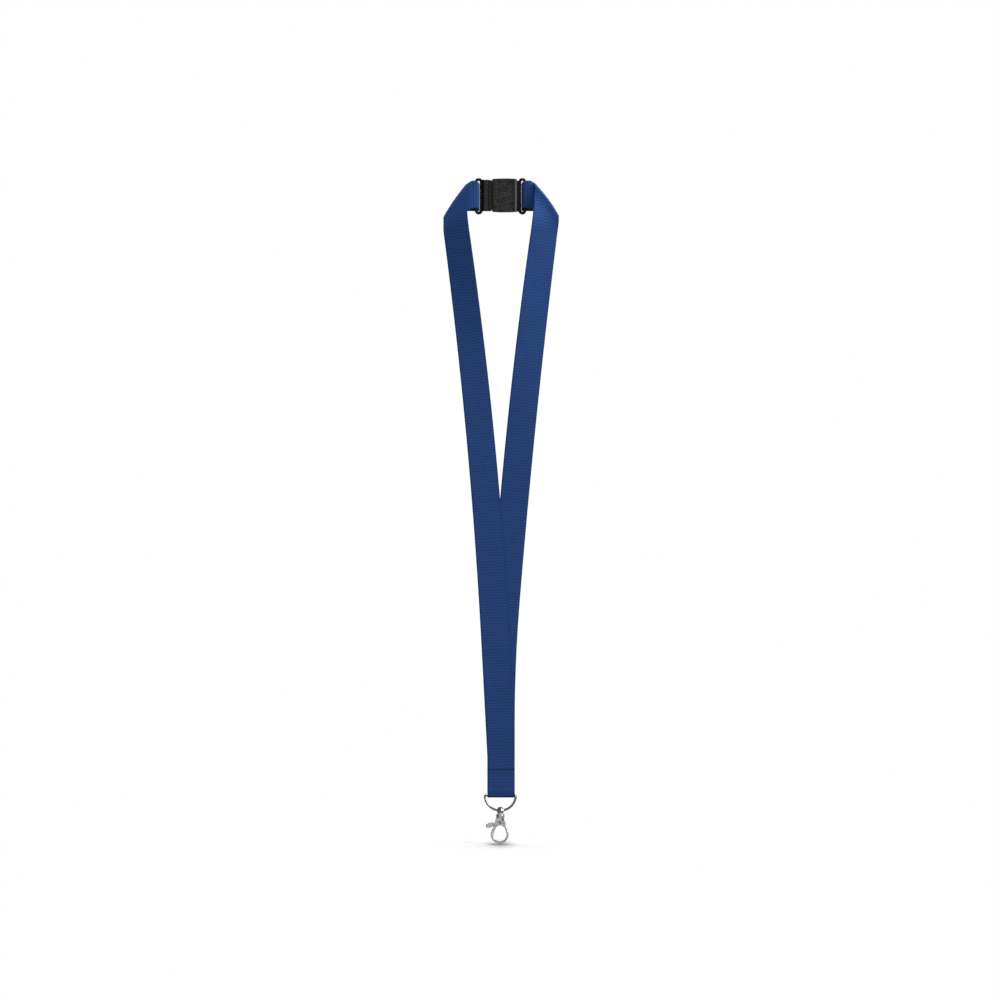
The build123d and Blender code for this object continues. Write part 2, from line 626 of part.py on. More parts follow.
def gate_spring():
    """Small compression spring that pushes the heel of the gate down and keeps the hook shut."""
    height = SPRING_TOP - SPRING_LOW - 2 * SPRING_WIRE_R
    path = Helix(pitch=height / SPRING_TURNS, height=height, radius=SPRING_R)
    section = Plane(origin=path @ 0, z_dir=path % 0) * Circle(SPRING_WIRE_R)
    coil = sweep(section, path, is_frenet=True)
    return Pos(SPRING_X, HOOK_Y, SPRING_LOW + SPRING_WIRE_R) * coil


def stitch_along_x(x, y, z, facing):
    """One thread stitch lying along X on a webbing face; facing is -1 for the front, 1 for the back."""
    return Pos(x, y + facing * STITCH_HEIGHT / 2, z) * Box(STITCH_LENGTH, STITCH_HEIGHT, STITCH_WIDTH)


def stitch_along_z(x, y, z, facing):
    return Pos(x, y + facing * STITCH_HEIGHT / 2, z) * Box(STITCH_WIDTH, STITCH_HEIGHT, STITCH_LENGTH)


def seam_places():
    """Distance of each stitch of a seam from the seam's middle."""
    first = -(STITCHES_PER_SEAM - 1) / 2
    return [(first + index) * STITCH_PITCH for index in range(STITCHES_PER_SEAM)]


def neck_stitches(side):
    """Seam that closes the webbing loop on a buckle ring."""
    stitches = []
    for z in seam_places():
        stitches.append(stitch_along_z(side * NECK_STITCH_X, -WEB_THICK, z, -1))
        stitches.append(stitch_along_z(side * NECK_STITCH_X, WEB_THICK, z, 1))
    return Compound(children=stitches)


def end_stitches():
    """Two seams across the sewn stack above the D-ring."""
    stitches = []
    for z in END_STITCH_ROWS:
        for offset in seam_places():
            x = END_SEAM_X + offset
            stitches.append(stitch_along_x(x, SEWN_FLAP_Y - WEB_THICK / 2, z, -1))
            stitches.append(stitch_along_x(x, SEWN_BACK_Y + WEB_THICK / 2, z, 1))
    return Compound(children=stitches)


PARTS = {
    "buckle_plug": buckle_plug,
    "buckle_socket": buckle_socket,
    "left_webbing": left_webbing,
    "left_webbing_end": left_webbing_end,
    "right_webbing": right_webbing,
    "left_neck_stitches": lambda: neck_stitches(-1),
    "right_neck_stitches": lambda: neck_stitches(1),
    "end_stitches": end_stitches,
    "d_ring": d_ring,
    "swivel_eye": swivel_eye,
    "hook_body": hook_body,
    "gate_lever": gate_lever,
    "gate_pivot_pin": gate_pivot_pin,
    "gate_spring": gate_spring,
}

os.makedirs("parts", exist_ok=True)
for name, build in PARTS.items():
    export_step(build(), f"parts/{name}.step")
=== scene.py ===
"""Looks of a hanging neck lanyard: ribbed webbing, sewing thread, buckle plastic and plated metal.

The object's distances are millimetres, in the frame of the CAD model: +Z up, X to the right,
+Y away from the camera. MM turns them into Blender's metres. The stage, lights and camera are in metres.
"""

import math

import bmesh
import bpy
import numpy as np
from mathutils import Matrix, Vector

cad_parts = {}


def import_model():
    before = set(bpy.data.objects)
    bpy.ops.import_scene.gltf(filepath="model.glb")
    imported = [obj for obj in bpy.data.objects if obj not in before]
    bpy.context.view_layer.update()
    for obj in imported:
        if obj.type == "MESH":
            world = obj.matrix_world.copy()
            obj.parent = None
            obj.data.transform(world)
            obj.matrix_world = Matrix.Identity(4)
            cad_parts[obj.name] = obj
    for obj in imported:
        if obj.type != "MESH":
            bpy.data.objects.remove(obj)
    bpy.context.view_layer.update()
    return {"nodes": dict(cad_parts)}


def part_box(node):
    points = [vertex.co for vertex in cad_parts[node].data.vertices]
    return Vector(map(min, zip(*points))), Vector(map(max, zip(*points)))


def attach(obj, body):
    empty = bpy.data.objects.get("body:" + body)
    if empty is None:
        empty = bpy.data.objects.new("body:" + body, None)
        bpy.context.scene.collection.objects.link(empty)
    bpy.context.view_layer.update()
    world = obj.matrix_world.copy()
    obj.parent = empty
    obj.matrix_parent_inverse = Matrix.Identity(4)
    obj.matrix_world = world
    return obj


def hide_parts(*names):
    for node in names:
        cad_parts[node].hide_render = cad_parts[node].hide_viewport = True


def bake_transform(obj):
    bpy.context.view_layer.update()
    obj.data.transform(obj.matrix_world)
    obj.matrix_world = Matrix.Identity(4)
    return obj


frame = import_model()

MM = 0.001

# ---------------------------------------------------------------- webbing
WEB_WIDTH = 20.0
WEB_THICK = 0.9
HALF_WEB = WEB_WIDTH / 2
RIB_PITCH = 2.09
RIB_HEIGHT = 0.08
RIB_POWER = 0.8             # below 1 the ribs are full and the valleys between them narrow
ROWS_PER_RIB = 5            # rows of the mesh along the webbing, for each rib
SELVAGE = 0.6               # how far in from its long edges the webbing is rounded
MIDDLE_COLUMNS = 31         # columns of the mesh across the webbing, between its rounded edges

# ---------------------------------------------------------------- loop on a buckle ring
BAR_X = 17.85               # outward distance of the ring bar that the webbing goes round
LOOP_R = 2.1                # from the middle of the bar to the middle of the webbing
CUT_END = 6.7               # from the bar to the cut end behind the band
PART_X = 5.4                # from the bar to where the layer behind starts to leave the band
PART_LENGTH = 4.4
ROUND_X = 0.3               # from the bar to where the layer behind starts round it
BACK_STEPS = 24
LOOP_STEPS = 30
RETURN_TOP = 9.1            # top edge of the layer behind, and of the loop inside the ring
BAND_TOP = 11.2             # top edge of the layer in front

# ---------------------------------------------------------------- fold
ROLL_STEPS = 10
BAND_STEPS = 40
TOP_SAG = 0.75              # slope at which the band's top edge runs down into the fold

# ---------------------------------------------------------------- straps
SLOPE_REACH = 15.0          # the strap's lean is measured this far above and below a row
ROW_Z = -26.0               # below this height the straps hang free of their folds
FRONT_Y = -1.35             # middle of the left strap's thickness, and of the D-ring
STRAP_GAP = 0.3
BEHIND_Y = FRONT_Y + WEB_THICK + STRAP_GAP  # the right strap, behind the left one
STACK_TOP = -419.2          # top of the sewn stack
STACK_STEP = 2.2            # height in which the right strap steps forward into the stack
SEWN_BACK_Y = FRONT_Y + WEB_THICK           # the stack's layer behind
SEWN_FLAP_Y = FRONT_Y - WEB_THICK           # the stack's flap in front
LEFT_END = -437.6           # end of the left strap inside the stack
BAR_Z = -440.4              # straight bar of the D-ring
BAR_LOOP_R = 1.35           # from the middle of the bar to the middle of the webbing
LOOP_BOTTOM_Z = BAR_Z - BAR_LOOP_R - WEB_THICK / 2
BAR_TAPER = (-438.0, -434.0)                # between these heights the layers part to go round the bar
FLAP_TOP = -420.6           # cut end of the turned-up flap
LEFT_STEPS = 500            # rows down each strap
RIGHT_STEPS = 520
BAR_STEPS = 16
FLAP_STEPS = 40

# ---------------------------------------------------------------- seams
STITCHES = 7                # in a row across the webbing
STITCH_PITCH = 2.5
STITCH_LENGTH = 2.0
STITCH_WIDTH = 0.5
STITCH_HEIGHT = 0.36
STITCH_DEPTH = 0.02         # from the webbing's face down to the middle of a stitch
STITCH_SIDES = 10
STITCH_RINGS = 8
NECK_SEAM_X = 24.1
END_SEAM_Z = (-423.4, -433.0)
X_AXIS = 0
Z_AXIS = 2
# Where each row of stitches is looked for along the strip, from its cut end at the buckle
NECK_BACK = (0.0, 6.0)
NECK_FRONT = (12.0, 30.0)
# The same at the D-ring, counted from the strip's last cut end
END_BACK = (45.0, 21.0)
END_FLAP = (19.0, 0.0)

# Each strap's shape. X is measured outwards from the middle of the lanyard, on both sides.
# crease: outermost line of the diagonal fold, in X and Z, from its upper end to its lower end
# outer, inner: X and Z of the strap's two long edges, from the fold down to where they run straight
# swing: degrees by which the neck band turns forwards away from the buckle
# turn: degrees by which the top of the strap is turned about its length
# lift: how far the top of the strap stands forward of where the strap lies lower down
# roll: radius of the fold at the strap's inner and outer edge
# loose_z: below this height the strap lies flat, with its middle at lying_y
LEFT = dict(
    side=-1,
    crease=((24.9, 8.7), (30.8, 1.1), (36.5, -7.0), (41.8, -16.0)),
    outer=((42.5, -20.5), (24.8, -179.6), (14.2, -326.6), (9.7, -412.0)),
    inner=((24.7, -12.0), (4.0, -181.0), (-7.6, -341.3), (-10.3, -408.0)),
    swing=6.0,
    turn=13.0,
    lift=4.2,
    roll=(2.3, 0.65),
    loose_z=-160.0,
    lying_y=FRONT_Y,
)
RIGHT = dict(
    side=1,
    crease=((24.8, 9.5), (31.8, 1.5), (37.7, -6.5), (42.7, -14.8)),
    outer=((42.8, -17.5), (27.7, -150.2), (14.2, -297.2), (10.5, -385.0)),
    inner=((24.0, -12.0), (6.5, -151.6), (-5.5, -288.3), (-9.7, -400.0)),
    swing=13.0,
    turn=11.0,
    lift=8.8,
    roll=(1.3, 0.85),
    loose_z=-230.0,
    lying_y=BEHIND_Y,
)


def smooth(t):
    """0 to 1, with no slope at either end."""
    t = np.clip(t, 0.0, 1.0)
    return t * t * (3 - 2 * t)


def edge_x(points, z):
    """Outward distance of a strap's edge at height z: a parabola, a second one, then straight."""
    (x0, z0), (x1, z1), (x2, z2), (x3, z3) = points
    upper = np.polyfit([z0, z1, z2], [x0, x1, x2], 2)
    slope = np.polyval(np.polyder(upper), z2)
    bend = (x3 - x2 - slope * (z3 - z2)) / (z3 - z2) ** 2
    lower = x2 + slope * (z - z2) + bend * (z - z2) ** 2
    return np.where(z > z2, np.polyval(upper, z), np.where(z > z3, lower, x3))


def hermite(start, start_slope, end, end_slope, count):
    """Rows of points from start to end, each a (column, xyz) array, leaving and arriving along the slopes."""
    t = np.linspace(0, 1, count)[:, None, None]
    return (
        (2 * t**3 - 3 * t**2 + 1) * start
        + (t**3 - 2 * t**2 + t) * start_slope
        + (3 * t**2 - 2 * t**3) * end
        + (t**3 - t**2) * end_slope
    )


# Columns run across the webbing from its inner edge on the strap, which is its top edge on the band.
# They are closest at the edges, where the webbing is rounded.
ROUNDED = HALF_WEB - np.array([0.0, 0.1, 0.3])
MIDDLE = np.linspace(SELVAGE - HALF_WEB, HALF_WEB - SELVAGE, MIDDLE_COLUMNS)
ACROSS = np.concatenate([-ROUNDED, MIDDLE, ROUNDED[::-1]])
COLUMNS = len(ACROSS)
SHARE = (ACROSS + HALF_WEB) / WEB_WIDTH


def rows_of(x, y, z):
    """A (row, column, xyz) array from three arrays that broadcast together."""
    return np.stack(np.broadcast_arrays(x, y, z), axis=-1).astype(float)


def ring_loop(spec):
    """From the cut end behind the band, round the bar of the buckle ring, to the front."""
    back_x = np.linspace(CUT_END, ROUND_X, BACK_STEPS)
    parting = smooth((PART_X - back_x) / PART_LENGTH)
    back_y = WEB_THICK / 2 + (LOOP_R - WEB_THICK / 2) * parting
    angle = np.linspace(math.pi / 2, 3 * math.pi / 2, LOOP_STEPS)[1:]
    x = np.concatenate([back_x, LOOP_R * np.cos(angle)])[:, None]
    y = np.concatenate([back_y, LOOP_R * np.sin(angle)])[:, None]
    swing = math.radians(spec["swing"])
    turned_x = BAR_X + x * math.cos(swing) + y * math.sin(swing)
    turned_y = y * math.cos(swing) - x * math.sin(swing)
    rise = np.concatenate([np.zeros(len(back_x)), smooth((angle - math.pi) / (math.pi / 2))])[:, None]
    top = RETURN_TOP + (BAND_TOP - RETURN_TOP) * rise
    return rows_of(turned_x, turned_y, top - WEB_WIDTH * SHARE)


def crease_points(spec):
    """Outermost point of the fold on each column, in X and Z."""
    x, z = zip(*spec["crease"])
    bow = np.polyfit(x, z, len(x) - 1)
    out = x[0] + (x[-1] - x[0]) * SHARE
    return out, np.polyval(bow, out)


def fold(spec, band_end):
    """From the loop along the band to the crease, round it, and on to the top of the free strap."""
    x, z = crease_points(spec)
    slope = np.gradient(z, x)
    radius = spec["roll"][0] + (spec["roll"][1] - spec["roll"][0]) * SHARE
    steep = np.sqrt(1 + slope**2)
    band_reach = radius * steep / np.abs(slope)
    strap_reach = radius * steep
    swing = math.radians(spec["swing"])
    band_y = -WEB_THICK / 2 - math.tan(swing) * (x - BAR_X)
    quarter = np.linspace(0, math.pi / 2, ROLL_STEPS)[:, None]
    middle_y = band_y - radius
    sag = TOP_SAG * (1 - SHARE) ** 2
    short = band_reach * (1 - np.sin(quarter))
    into = rows_of(x - short, middle_y + radius * np.cos(quarter), z + sag * short)
    out = rows_of(x, middle_y - radius * np.sin(quarter), z - strap_reach * (1 - np.cos(quarter)))
    roll = np.concatenate([into, out[1:]])
    length = np.linalg.norm(roll[0] - band_end, axis=-1, keepdims=True)
    outward = np.array([math.cos(swing), -math.sin(swing), 0.0])
    arriving = rows_of(1.0, 0.0, -sag)
    band = hermite(band_end, outward * length, roll[0], arriving * length, BAND_STEPS)
    first, second = strap_rows(spec, np.array([ROW_Z, ROW_Z - 1.0]))
    drop = np.linalg.norm(first - roll[-1], axis=-1, keepdims=True)
    top = hermite(roll[-1], np.array([0.0, 0.0, -1.0]) * drop, first, (second - first) * drop, BAND_STEPS)
    return np.concatenate([band[1:], roll[1:], top[1:]])


def centre_x(spec, z):
    """Outward distance of the middle of a free strap at height z."""
    return (edge_x(spec["inner"], z) + edge_x(spec["outer"], z)) / 2


def strap_rows(spec, z, lying_y=None):
    """Rows square across a free strap, in the middle of it at the heights z.

    The strap is turned and lifted at the top and lies flat lower down.
    """
    z = z[:, None]
    slope = (centre_x(spec, z + SLOPE_REACH) - centre_x(spec, z - SLOPE_REACH)) / (2 * SLOPE_REACH)
    offset = (SHARE - 0.5) * WEB_WIDTH
    z = z - slope * offset
    loose = 1 - smooth((ROW_Z - z) / (ROW_Z - spec["loose_z"]))
    inner = edge_x(spec["inner"], z)
    outer = edge_x(spec["outer"], z)
    lying = spec["lying_y"] if lying_y is None else lying_y[:, None]
    turn = math.tan(math.radians(spec["turn"])) * loose
    return rows_of(inner + (outer - inner) * SHARE, lying - spec["lift"] * loose + turn * offset, z)


def left_path():
    """Middle surface of the left strip, and the rows at which its fold starts and ends."""
    loop = ring_loop(LEFT)
    folded = fold(LEFT, loop[-1])
    strap = strap_rows(LEFT, np.linspace(ROW_Z, LEFT_END, LEFT_STEPS)[1:])
    return np.concatenate([loop, folded, strap]), len(loop) - 1, len(loop) + len(folded) - 1


def right_path():
    """Like the left one, and then round the bar of the D-ring and up the front as a flap."""
    loop = ring_loop(RIGHT)
    folded = fold(RIGHT, loop[-1])
    bar_back_y = FRONT_Y + BAR_LOOP_R
    bar_front_y = FRONT_Y - BAR_LOOP_R
    taper_low, taper_top = BAR_TAPER
    taper = taper_top - taper_low
    down = np.linspace(ROW_Z, BAR_Z, RIGHT_STEPS)[1:]
    lying = BEHIND_Y + (SEWN_BACK_Y - BEHIND_Y) * smooth((STACK_TOP - down) / STACK_STEP)
    lying += (bar_back_y - SEWN_BACK_Y) * smooth((taper_top - down) / taper)
    strap = strap_rows(RIGHT, down, lying)
    angle = np.linspace(0, math.pi, BAR_STEPS)[1:]
    round_bar = strap[-1:].repeat(len(angle), axis=0)
    round_bar[..., 1] = FRONT_Y + BAR_LOOP_R * np.cos(angle)[:, None]
    round_bar[..., 2] = BAR_Z - BAR_LOOP_R * np.sin(angle)[:, None]
    up = np.linspace(BAR_Z, FLAP_TOP, FLAP_STEPS)[1:]
    flap = strap[-1:].repeat(len(up), axis=0)
    flap_y = bar_front_y + (SEWN_FLAP_Y - bar_front_y) * smooth((up - taper_low) / taper)
    flap[..., 1] = flap_y[:, None]
    flap[..., 2] = up[:, None]
    path = np.concatenate([loop, folded, strap, round_bar, flap])
    return path, len(loop) - 1, len(loop) + len(folded) - 1


def woven_grid(path, fold_start, fold_end):
    """The path again with rows a fixed share of a rib apart, and the distance of each row along the webbing.

    In the fold the columns differ in length, and the weave gives way evenly between its two ends.
    """
    steps = np.linalg.norm(np.diff(path, axis=0), axis=-1)
    along = np.concatenate([np.zeros((1, COLUMNS)), np.cumsum(steps, axis=0)])
    mean = along.mean(axis=1, keepdims=True)
    share = (along - along[fold_start]) / (along[fold_end] - along[fold_start])
    eased = mean[fold_start] + share * (mean[fold_end] - mean[fold_start])
    inside = (np.arange(len(path)) > fold_start) & (np.arange(len(path)) < fold_end)
    along = np.where(inside[:, None], eased, mean)
    at = np.arange(0, along[-1, 0], RIB_PITCH / ROWS_PER_RIB)
    columns = [
        np.stack([np.interp(at, along[:, j], path[:, j, k]) for k in range(3)], axis=-1)
        for j in range(COLUMNS)
    ]
    return np.stack(columns, axis=1), at


def grid_frame(grid):
    """Unit vectors at each point of the webbing: along it, across it, and out of its inner face."""
    along = np.gradient(grid, axis=0)
    across = np.gradient(grid, ACROSS, axis=1)
    normal = np.cross(along, across)
    return [v / np.linalg.norm(v, axis=-1, keepdims=True) for v in (along, across, normal)]


def webbing_mesh(name, side, grid, along):
    """Closed mesh of a length of webbing round its middle surface, with ribs on both faces.

    Each vertex carries its place in the weave: across, along, and how far it is from a cut end.
    At a cut end the outermost faces are triangles, because front and back share the edge's points.
    """
    normal = grid_frame(grid)[2]
    inset = np.clip((np.abs(ACROSS) - HALF_WEB + SELVAGE) / SELVAGE, 0, 1)
    edge = np.sqrt(1 - inset**2)
    rib = np.abs(np.sin(math.pi * along / RIB_PITCH)) ** RIB_POWER
    half = edge * (WEB_THICK / 2 - RIB_HEIGHT * (1 - rib)[:, None])
    front = grid + normal * half[..., None]
    back = grid - normal * half[..., None]
    loop = np.concatenate([front, back[:, -2:0:-1]], axis=1)
    rows, ring = loop.shape[:2]
    points = loop.reshape(-1, 3) * np.array([side, 1, 1]) * MM
    faces = []
    for i in range(rows - 1):
        for j in range(ring):
            k = (j + 1) % ring
            faces.append((i * ring + j, i * ring + k, (i + 1) * ring + k, (i + 1) * ring + j))
    for start in (0, (rows - 1) * ring):
        for j in range(COLUMNS - 1):
            ends = (j, j + 1, (ring - j - 1) % ring, (ring - j) % ring)
            faces.append(tuple(dict.fromkeys(start + e for e in ends)))
    mesh = bpy.data.meshes.new(name)
    mesh.from_pydata(points.tolist(), [], faces)
    across = np.concatenate([ACROSS, ACROSS[-2:0:-1]])
    to_cut = np.minimum(along, along[-1] - along)
    weave = rows_of(across[None, :], along[:, None], to_cut[:, None]) * MM
    attribute = mesh.attributes.new("weave", "FLOAT_VECTOR", "POINT")
    attribute.data.foreach_set("vector", weave.astype(np.float32).ravel())
    tidy_normals(mesh)
    return mesh


def tidy_normals(mesh):
    """Face every face outwards, and shade the mesh smooth."""
    work = bmesh.new()
    work.from_mesh(mesh)
    bmesh.ops.recalc_face_normals(work, faces=work.faces)
    work.to_mesh(mesh)
    work.free()
    mesh.shade_smooth()


def new_object(name, data):
    piece = bpy.data.objects.new(name, data)
    bpy.context.scene.collection.objects.link(piece)
    return piece


# ---------------------------------------------------------------- materials
def new_material(name):
    material = bpy.data.materials.new(name)
    material.use_nodes = True
    return material, material.node_tree, material.node_tree.nodes["Principled BSDF"]


def add(tree, kind, values=None, **settings):
    """A node with its settings and inputs; an input is a plain value or another node's output."""
    node = tree.nodes.new("ShaderNode" + kind)
    for key, value in settings.items():
        setattr(node, key, value)
    for key, value in (values or {}).items():
        if isinstance(value, bpy.types.NodeSocket):
            tree.links.new(value, node.inputs[key])
        else:
            node.inputs[key].default_value = value
    return node


def calc(tree, operation, a, b=0.0):
    return add(tree, "Math", {0: a, 1: b}, operation=operation).outputs[0]


def span(tree, value, low, high, to_low=0.0, to_high=1.0):
    """value between low and high, moved to the range from to_low to to_high."""
    values = {"Value": value, "From Min": low, "From Max": high, "To Min": to_low, "To Max": to_high}
    return add(tree, "MapRange", values, interpolation_type="SMOOTHSTEP").outputs[0]


def stripe(tree, value, low, high, soft):
    """1 between low and high, falling to 0 within soft outside of them."""
    rise = span(tree, value, low - soft, low)
    fall = span(tree, value, high, high + soft, 1.0, 0.0)
    return calc(tree, "MULTIPLY", rise, fall)


def blend_colour(tree, share, a, b):
    return add(tree, "Mix", {0: share, 6: a, 7: b}, data_type="RGBA").outputs[2]


DEEP_NAVY = (0.017, 0.054, 0.187, 1)
BRIGHT_NAVY = (0.031, 0.092, 0.297, 1)
# painted shade in the valleys between the ribs
VALLEY_SHADE_NAVY = (0.006, 0.017, 0.062, 1)
SELVAGE_NAVY = (0.007, 0.021, 0.080, 1)
BLACK_NAVY = (0.003, 0.008, 0.030, 1)
SHEEN_BLUE = (0.25, 0.42, 0.9, 1)
WEFT_PITCH = 0.42           # fine yarns, counted across the webbing
WARP_PITCH = 0.3            # fine yarns, counted along it
SELVAGE_SHADE = (HALF_WEB - 1.1, HALF_WEB - 0.3)    # the selvage darkens between these, off the middle
SEALED_END_AND_SHADE = (0.5, 1.1)     # a cut end's dark stripe fades between these: partly its melted edge, partly painted shade
LOOP_SHADE_REACH = 11.0            # painted shade darkens the webbing this far above the bottom of the D-ring loop
DEEP_SHADE_REACH = 1.6               # and makes it nearly black this far above it


def webbing_material():
    """Navy polyester webbing: ribs across it, fine yarns along and across, and a tighter selvage. It carries
    painted shade in the rib valleys and where it turns round the D-ring's bar, and a dark stripe at each cut
    end that is partly its melted edge and partly painted shade.
    """
    material, tree, shader = new_material("navy_webbing")
    weave = add(tree, "Attribute", attribute_name="weave").outputs["Vector"]
    across, along, to_cut = add(tree, "SeparateXYZ", {0: weave}).outputs
    rib_angle = calc(tree, "MULTIPLY", along, math.pi / (RIB_PITCH * MM))
    rib = calc(tree, "ABSOLUTE", calc(tree, "SINE", rib_angle))
    # painted shade, darkest in the valleys between the ribs
    valley_shade = span(tree, rib, 0.0, 0.55, 1.0, 0.0)
    yarn_across = calc(tree, "SINE", calc(tree, "MULTIPLY", across, 2 * math.pi / (WEFT_PITCH * MM)))
    yarn_along = calc(tree, "SINE", calc(tree, "MULTIPLY", along, 2 * math.pi / (WARP_PITCH * MM)))
    weft = calc(tree, "MULTIPLY", yarn_across, 0.65)
    yarns = calc(tree, "ADD", weft, calc(tree, "MULTIPLY", yarn_along, 0.35))
    streak_at = add(tree, "VectorMath", {0: weave, 1: (350.0, 2600.0, 1.0)}, operation="MULTIPLY").outputs[0]
    streak = add(tree, "TexNoise", {"Vector": streak_at, "Scale": 1.0, "Detail": 3.0}).outputs[0]
    cloud_at = add(tree, "VectorMath", {0: weave, 1: (60.0, 45.0, 1.0)}, operation="MULTIPLY").outputs[0]
    cloud = add(tree, "TexNoise", {"Vector": cloud_at, "Scale": 1.0, "Detail": 2.0}).outputs[0]
    off_middle = calc(tree, "ABSOLUTE", across)
    selvage = span(tree, off_middle, SELVAGE_SHADE[0] * MM, SELVAGE_SHADE[1] * MM)
    # dark stripe at each cut end: partly the melted edge, partly painted shade
    sealed_and_shaded = span(tree, to_cut, SEALED_END_AND_SHADE[0] * MM, SEALED_END_AND_SHADE[1] * MM, 1.0, 0.0)
    tone = calc(tree, "ADD", calc(tree, "MULTIPLY", streak, 0.35), calc(tree, "MULTIPLY", cloud, 0.45))
    tone = calc(tree, "ADD", tone, calc(tree, "MULTIPLY", yarns, 0.10))
    height = add(tree, "SeparateXYZ", {0: add(tree, "TexCoord").outputs["Object"]}).outputs[2]
    # painted shade where the webbing turns round the D-ring's bar, darkest at its bottom
    loop_shade = span(tree, height, LOOP_BOTTOM_Z * MM, (LOOP_BOTTOM_Z + LOOP_SHADE_REACH) * MM, 0.28, 0.0)
    deep_loop_shade = span(tree, height, LOOP_BOTTOM_Z * MM, (LOOP_BOTTOM_Z + DEEP_SHADE_REACH) * MM, 0.85, 0.0)
    colour = blend_colour(tree, tone, DEEP_NAVY, BRIGHT_NAVY)
    colour = blend_colour(tree, calc(tree, "MULTIPLY", valley_shade, 0.55), colour, VALLEY_SHADE_NAVY)
    colour = blend_colour(tree, calc(tree, "MAXIMUM", loop_shade, deep_loop_shade), colour, BLACK_NAVY)
    colour = blend_colour(tree, calc(tree, "MULTIPLY", selvage, 0.6), colour, SELVAGE_NAVY)
    colour = blend_colour(tree, calc(tree, "MULTIPLY", sealed_and_shaded, 0.8), colour, BLACK_NAVY)
    tree.links.new(colour, shader.inputs["Base Color"])
    tree.links.new(span(tree, streak, 0.2, 0.8, 0.72, 0.9), shader.inputs["Roughness"])
    shader.inputs["Specular IOR Level"].default_value = 0.12
    shader.inputs["Sheen Weight"].default_value = 0.03
    shader.inputs["Sheen Roughness"].default_value = 0.45
    shader.inputs["Sheen Tint"].default_value = SHEEN_BLUE
    relief = calc(tree, "ADD", calc(tree, "MULTIPLY", yarns, 0.5), streak)
    bump = add(tree, "Bump", {"Height": relief, "Strength": 0.55, "Distance": 0.00008})
    tree.links.new(bump.outputs[0], shader.inputs["Normal"])
    return material


DARK_THREAD = (0.010, 0.034, 0.13, 1)
LIGHT_THREAD = (0.024, 0.078, 0.27, 1)


def thread_material():
    """Bonded polyester sewing thread, a little brighter than the webbing, with its twist."""
    material, tree, shader = new_material("navy_thread")
    place = add(tree, "TexCoord").outputs["Object"]
    settings = dict(wave_type="BANDS", bands_direction="DIAGONAL")
    twist = add(tree, "TexWave", {"Vector": place, "Scale": 900.0, "Distortion": 0.6}, **settings).outputs[1]
    colour = blend_colour(tree, twist, DARK_THREAD, LIGHT_THREAD)
    tree.links.new(colour, shader.inputs["Base Color"])
    shader.inputs["Roughness"].default_value = 0.6
    shader.inputs["Specular IOR Level"].default_value = 0.15
    bump = add(tree, "Bump", {"Height": twist, "Strength": 0.6, "Distance": 0.00008})
    tree.links.new(bump.outputs[0], shader.inputs["Normal"])
    return material


GRIP_X = -10.6              # grained grip band on the shoulder of the plug
GRIP_HALF_WIDTH = 1.5
SOCKET_PANEL = (-5.2, 9.0)  # left and right end of the socket's grained panels
PANEL_DEPTH = (1.9, 2.2)    # from the middle of the buckle to its flat faces: no grain, full grain
HIGHLIGHT_STRIP = (10.7, 11.5)   # painted highlight: a paler band across the socket, beside its ring
BLACK = (0.0025, 0.0025, 0.003, 1)
SPECKLE_GREY = (0.048, 0.048, 0.050, 1)
WORN_GREY = (0.06, 0.06, 0.06, 1)
HIGHLIGHT_GREY = (0.11, 0.11, 0.11, 1)


